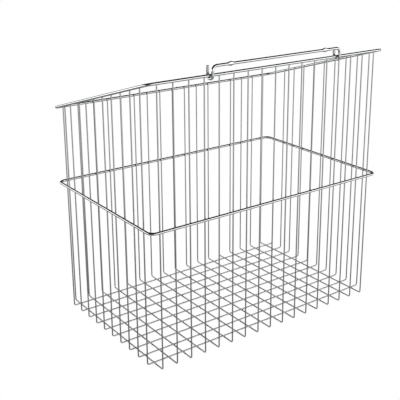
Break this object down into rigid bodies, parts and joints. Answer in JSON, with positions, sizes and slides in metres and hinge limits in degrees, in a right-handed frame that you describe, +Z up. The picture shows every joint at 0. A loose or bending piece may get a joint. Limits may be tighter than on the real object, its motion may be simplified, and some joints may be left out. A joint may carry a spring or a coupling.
{
  "type": "pull-out hamper basket",
  "caption": "Deep rectangular basket of welded chrome wire with a mouth that slants down to the back, a mid-height ring and a wire lift handle that swings on the tall front edge.",
  "frame": {"origin": "on the surface the basket stands on, under the middle of its outline", "axes": "+X along the long front wall, +Y from the tall front with the handle to the low back, +Z up"},
  "size_m": [0.5242, 0.338, 0.52],
  "materials": {
    "mesh_wire": "bright chrome plate on drawn steel wire",
    "frame_wire": "bright chrome plate on drawn steel wire",
    "handle_wire": "bright chrome plate on drawn steel wire"
  },
  "bodies": {
    "basket": {"rim_wire": "frame_wire", "mid_ring": "frame_wire", "cross_wire_01": "mesh_wire", "cross_wire_02": "mesh_wire", "cross_wire_03": "mesh_wire", "cross_wire_04": "mesh_wire", "cross_wire_05": "mesh_wire", "cross_wire_06": "mesh_wire", "cross_wire_07": "mesh_wire", "cross_wire_08": "mesh_wire", "cross_wire_09": "mesh_wire", "cross_wire_10": "mesh_wire", "cross_wire_11": "mesh_wire", "cross_wire_12": "mesh_wire", "cross_wire_13": "mesh_wire", "cross_wire_14": "mesh_wire", "cross_wire_15": "mesh_wire", "cross_wire_16": "mesh_wire", "cross_wire_17": "mesh_wire", "long_wire_01": "mesh_wire", "long_wire_02": "mesh_wire", "long_wire_03": "mesh_wire", "long_wire_04": "mesh_wire", "long_wire_05": "mesh_wire", "long_wire_06": "mesh_wire", "long_wire_07": "mesh_wire", "long_wire_08": "mesh_wire", "long_wire_09": "mesh_wire", "long_wire_10": "mesh_wire"},
    "handle": {"lift_handle": "handle_wire"}
  },
  "joints": [
    {"name": "handle_swing", "type": "hinge", "parent": "basket", "child": "handle", "pos_m": [0, -0.1609, 0.5], "axis": [1, 0, 0], "range_deg": [-165, 155]}
  ]
}
